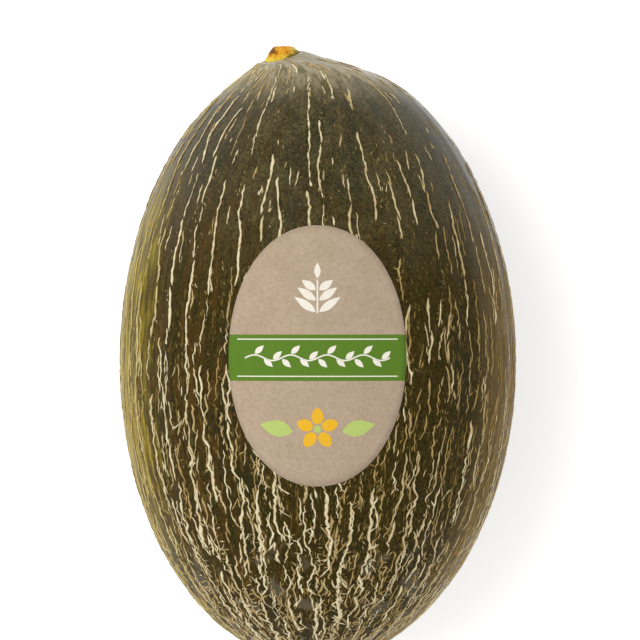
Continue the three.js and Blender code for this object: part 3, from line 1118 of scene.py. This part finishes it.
def above_skin(x, y, height):
    """Points straight above a place on the floor plan, a height out from the skin."""
    along = y - GIRTH_Y
    half = np.where(along > 0, STEM_HALF, BLOSSOM_HALF)
    across = x + BEND * (along / half) ** 2
    share = np.sqrt(1 - (across / SIDE_RADIUS) ** 2 - (along / half) ** 2)
    normal = np.stack([across / SIDE_RADIUS**2, along / half**2, share / TOP_RADIUS], axis=-1)
    normal /= np.linalg.norm(normal, axis=-1, keepdims=True)
    return np.stack([x, y, CENTRE_HEIGHT + TOP_RADIUS * share], axis=-1) + normal * height


bpy.ops.mesh.primitive_circle_add(vertices=LABEL_SIDES, radius=1, fill_type="TRIFAN")
label = bpy.context.object
label.name = "label_sheet"
bpy.ops.object.mode_set(mode="EDIT")
bpy.ops.mesh.subdivide(number_cuts=LABEL_CUTS)
bpy.ops.object.mode_set(mode="OBJECT")
disc = read_points(label)
reach = np.hypot(disc[:, 0], disc[:, 1])
turn_round = np.arctan2(disc[:, 1], disc[:, 0])
wide_share = np.abs(np.cos(turn_round)) ** LABEL_FULLNESS
long_share = np.abs(np.sin(turn_round)) ** LABEL_FULLNESS
fuller = (wide_share + long_share) ** (-1 / LABEL_FULLNESS)
disc_x = LABEL_X + LABEL_HALF_WIDTH * reach * fuller * np.cos(turn_round)
disc_y = LABEL_Y + LABEL_HALF_LENGTH * reach * fuller * np.sin(turn_round)
write_points(label, np.stack([disc_x, disc_y, np.zeros(len(disc))], axis=-1))
bpy.ops.object.mode_set(mode="EDIT")
for edge in (BAND_LOW, BAND_HIGH):
    bpy.ops.mesh.select_all(action="SELECT")
    bpy.ops.mesh.bisect(plane_co=(0, edge * MM, 0), plane_no=(0, 1, 0))
bpy.ops.object.mode_set(mode="OBJECT")
flat = read_points(label) / MM
write_points(label, above_skin(flat[:, 0], flat[:, 1], label_top))

KRAFT = colour(190, 168, 144)
KRAFT_DARK = colour(158, 136, 110)
BAND_GREEN = colour(88, 128, 30)
PAPER_FIBRES = (0.35, 0.7, 0.0, 0.55)
PAPER_CLOUDS = (0.4, 0.7, 0.0, 0.2)
PAPER_DEPTH = 0.05
BAND_FIBRES = (0.35, 0.7, 0.0, 0.1)


def paper_fibres(tree):
    """The mottled fibres of the paper, which also show through its ink."""
    return noise(place_in_mm(tree), 0.7, detail=5.0, roughness=0.75)


def ink(name, ink_colour, paper_colour, fibres):
    """Ink that lets a little of the paper through where its fibres lie."""
    surface = {"Roughness": 0.7, "Specular IOR Level": 0.15}
    finish, tree, shader = new_finish(name, surface)
    inked = blend(ramp(paper_fibres(tree), *fibres), ink_colour, paper_colour)
    tree.links.new(inked, shader.inputs["Base Color"])
    return finish


paper_finish, tree, shader = new_finish("kraft_paper", {"Roughness": 0.85})
fibre = paper_fibres(tree)
cloudy = noise(place_in_mm(tree), 0.12)
paper = blend(ramp(fibre, *PAPER_FIBRES), KRAFT, KRAFT_DARK)
paper = blend(ramp(cloudy, *PAPER_CLOUDS), paper, KRAFT_DARK)
tree.links.new(paper, shader.inputs["Base Color"])
set_bump(shader, fibre, 0.3, PAPER_DEPTH)
label.data.materials.append(paper_finish)
label.data.materials.append(ink("green_ink", BAND_GREEN, KRAFT_DARK, BAND_FIBRES))
for face in label.data.polygons:
    face.material_index = 1 if BAND_LOW < face.center.y / MM < BAND_HIGH else 0
bpy.ops.object.shade_smooth()
thickness = label.modifiers.new("thickness", "SOLIDIFY")
thickness.thickness = PAPER_THICKNESS * MM
thickness.offset = -1
bpy.ops.object.modifier_apply(modifier="thickness")
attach(label, "root")
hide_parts("paper_label")

# The label's print is plain ornament in cream, yellow and pale green ink: a vine along the band, a
# sprig above it and a blossom between two leaves below it. Each shape is a thin film of ink on the
# paper, laid along a middle line.
INK_THICKNESS = 0.05
INK_SINK = 1.6
INK_FIBRES = (0.4, 0.7, 0.0, 0.2)
STRIP_CUTS = 4
SHARE_STEP = 0.001
TIP_HALF_WIDTH = 0.03
LEAF_SKEW = 0.85
LEAF_STEPS = 12
band_middle = (BAND_LOW + BAND_HIGH) / 2


def ink_strip(middle, half_width, steps):
    """A film of ink. The middle line and its half width are functions of a share from 0 to 1."""
    bpy.ops.mesh.primitive_grid_add(x_subdivisions=steps, y_subdivisions=STRIP_CUTS, size=2)
    strip = bpy.context.object
    flat = read_points(strip)
    share = (flat[:, 0] + 1) / 2
    onward = middle(share + SHARE_STEP) - middle(share - SHARE_STEP)
    onward /= np.linalg.norm(onward, axis=-1, keepdims=True)
    aside = np.stack([-onward[:, 1], onward[:, 0]], axis=-1)
    placed = middle(share) + aside * (flat[:, 1] * half_width(share))[:, None]
    write_points(strip, above_skin(placed[:, 0], placed[:, 1], label_top + INK_THICKNESS))
    return strip


def line(start, heading, length):
    """A straight middle line. A heading of 0 is to +X, in radians anticlockwise."""
    direction = np.array([math.cos(heading), math.sin(heading)])

    def middle(share):
        return np.array(start) + np.outer(share, length * direction)
    return middle


def evenly(half_width):
    """The same half width all along."""
    def shape(share):
        return np.full(len(share), half_width)
    return shape


def leaf(start, heading, size, steps=LEAF_STEPS, bluntness=1):
    """An oval of ink of a length and a width. It is pointed unless it is blunt."""
    length, width = size

    def shape(share):
        bulge = np.maximum(np.sin(math.pi * np.clip(share, 0, 1) ** LEAF_SKEW), 0)
        return TIP_HALF_WIDTH + width / 2 * bulge ** (1 / bluntness)
    return ink_strip(line(start, heading, length), shape, steps)


def leaf_pair(y, aside, tilt, size, steps):
    """Two leaves that lean out to both sides of the label's middle."""
    return [
        leaf((LABEL_X + aside * side, y), math.pi / 2 - side * tilt, size, steps) for side in (-1, 1)
    ]


def print_ink(name, strips, ink_colour):
    """Joins strips into one piece of the label, in one ink."""
    bpy.ops.object.select_all(action="DESELECT")
    for strip in strips:
        strip.select_set(True)
    bpy.context.view_layer.objects.active = strips[0]
    bpy.ops.object.join()
    made = bpy.context.object
    made.name = name
    film = made.modifiers.new("film", "SOLIDIFY")
    film.thickness = INK_SINK * INK_THICKNESS * MM
    film.offset = -1
    bpy.ops.object.modifier_apply(modifier="film")
    made.data.materials.append(ink(name, ink_colour, KRAFT, INK_FIBRES))
    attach(made, "root")


VINE_REACH = 28
VINE_WAVE = 1.1
VINE_LENGTH = 14
VINE_HALF_WIDTH = 0.28
VINE_LEAVES = range(-7, 8)
VINE_LEAF = (4.6, 2.1)
VINE_LEAF_TILT = 0.75
VINE_LEAF_SHIFT = (0.4, 0.5)
LONG_STEPS = 112
RULE_REACH = 31
RULE_DISTANCE = 7.2
RULE_HALF_WIDTH = 0.22
SPRIG_Y = 19
SPRIG_LENGTH = 13
SPRIG_HALF_WIDTH = 0.3
SPRIG_STEPS = 24
SPRIG_PAIRS = [(0.5, (10, 3)), (5, (8.5, 3)), (9, (6.5, 3))]
SPRIG_LEAF_TILT = 0.95
SPRIG_LEAF_ASIDE = 0.7
SPRIG_LEAF_STEPS = 18
SPRIG_TIP_RISE = 13.6
SPRIG_TIP_LEAF = (6, 2.4)


def vine(share):
    x = LABEL_X + VINE_REACH * (2 * share - 1)
    return np.stack([x, band_middle + VINE_WAVE * np.sin(FULL_TURN * x / VINE_LENGTH)], axis=-1)


cream = [ink_strip(vine, evenly(VINE_HALF_WIDTH), LONG_STEPS)]
for index in VINE_LEAVES:
    stalk = vine(np.array([0.5 + index * VINE_LENGTH / 4 / (2 * VINE_REACH)]))[0]
    side = 1 if index % 2 else -1
    start = stalk + np.array([1, side]) * VINE_LEAF_SHIFT
    cream.append(leaf(start, side * VINE_LEAF_TILT, VINE_LEAF))
for side in (-1, 1):
    start = (LABEL_X - RULE_REACH, band_middle + side * RULE_DISTANCE)
    cream.append(ink_strip(line(start, 0, 2 * RULE_REACH), evenly(RULE_HALF_WIDTH), LONG_STEPS))
sprig = line((LABEL_X, SPRIG_Y), math.pi / 2, SPRIG_LENGTH)
cream.append(ink_strip(sprig, evenly(SPRIG_HALF_WIDTH), SPRIG_STEPS))
for rise, size in SPRIG_PAIRS:
    cream += leaf_pair(SPRIG_Y + rise, SPRIG_LEAF_ASIDE, SPRIG_LEAF_TILT, size, SPRIG_LEAF_STEPS)
cream.append(leaf((LABEL_X, SPRIG_Y + SPRIG_TIP_RISE), math.pi / 2, SPRIG_TIP_LEAF))
print_ink("label_cream_ink", cream, colour(246, 240, 226))

BLOSSOM_Y = -26
PETALS = 5
PETAL_FROM = 1.9
PETAL = (6.4, 4.6)
PETAL_STEPS = 20
PETAL_BLUNTNESS = 1.8
petals = []
for heading in np.arange(PETALS) * 2 * math.pi / PETALS + math.pi / 2:
    start = (LABEL_X + PETAL_FROM * math.cos(heading), BLOSSOM_Y + PETAL_FROM * math.sin(heading))
    petals.append(leaf(start, heading, PETAL, PETAL_STEPS, PETAL_BLUNTNESS))
print_ink("label_yellow_ink", petals, colour(242, 186, 28))

SIDE_LEAF = (13, 6.2)
SIDE_LEAF_FROM = 9.6
SIDE_LEAF_DROP = 1
SIDE_LEAF_TILT = 1.35
SIDE_LEAF_STEPS = 24
HEART_RADIUS = 1.45
HEART_STEPS = 16


def heart(share):
    """The round middle of the blossom."""
    return TIP_HALF_WIDTH + HEART_RADIUS * np.sqrt(np.clip(1 - (2 * share - 1) ** 2, 0, 1))


leaf_y = BLOSSOM_Y - SIDE_LEAF_DROP
leaves = leaf_pair(leaf_y, SIDE_LEAF_FROM, SIDE_LEAF_TILT, SIDE_LEAF, SIDE_LEAF_STEPS)
heart_line = line((LABEL_X - HEART_RADIUS, BLOSSOM_Y), 0, 2 * HEART_RADIUS)
leaves.append(ink_strip(heart_line, heart, HEART_STEPS))
print_ink("label_green_ink", leaves, colour(186, 206, 112))

# The studio is a white floor, one large round light high up on the fruit's -X side, and even
# white light from all round. The floor glows a little, which keeps the shadow soft and pale.
FLOOR_SIZE = 8000
FLOOR_DROP = 0.3
FLOOR_GLOW = 0.45
KEY_PLACE = (-900, 300, 2000)
KEY_SIZE = 1400
KEY_POWER = 21
STUDIO_LIGHT = 0.62

bpy.ops.mesh.primitive_plane_add(size=FLOOR_SIZE * MM, location=(0, 0, -FLOOR_DROP * MM))
floor = bpy.context.object
floor.name = "floor"
floor_surface = {
    "Base Color": colour(250, 250, 250),
    "Roughness": 0.9,
    "Emission Color": (1, 1, 1, 1),
    "Emission Strength": FLOOR_GLOW,
}
floor_finish, tree, shader = new_finish("white_floor", floor_surface)
floor.data.materials.append(floor_finish)

key_data = bpy.data.lights.new("key", "AREA")
key_data.shape = "DISK"
key_data.size = KEY_SIZE * MM
key_data.energy = KEY_POWER
key = bpy.data.objects.new("key", key_data)
key.location = [part * MM for part in KEY_PLACE]
key.rotation_mode = "QUATERNION"
key.rotation_quaternion = (-key.location).to_track_quat("-Z", "Y")
bpy.context.scene.collection.objects.link(key)

world = bpy.data.worlds.new("studio")
bpy.context.scene.world = world
world.use_nodes = True
background = world.node_tree.nodes["Background"]
background.inputs["Color"].default_value = (1, 1, 1, 1)
background.inputs["Strength"].default_value = STUDIO_LIGHT
bpy.context.scene.view_settings.view_transform = "Standard"
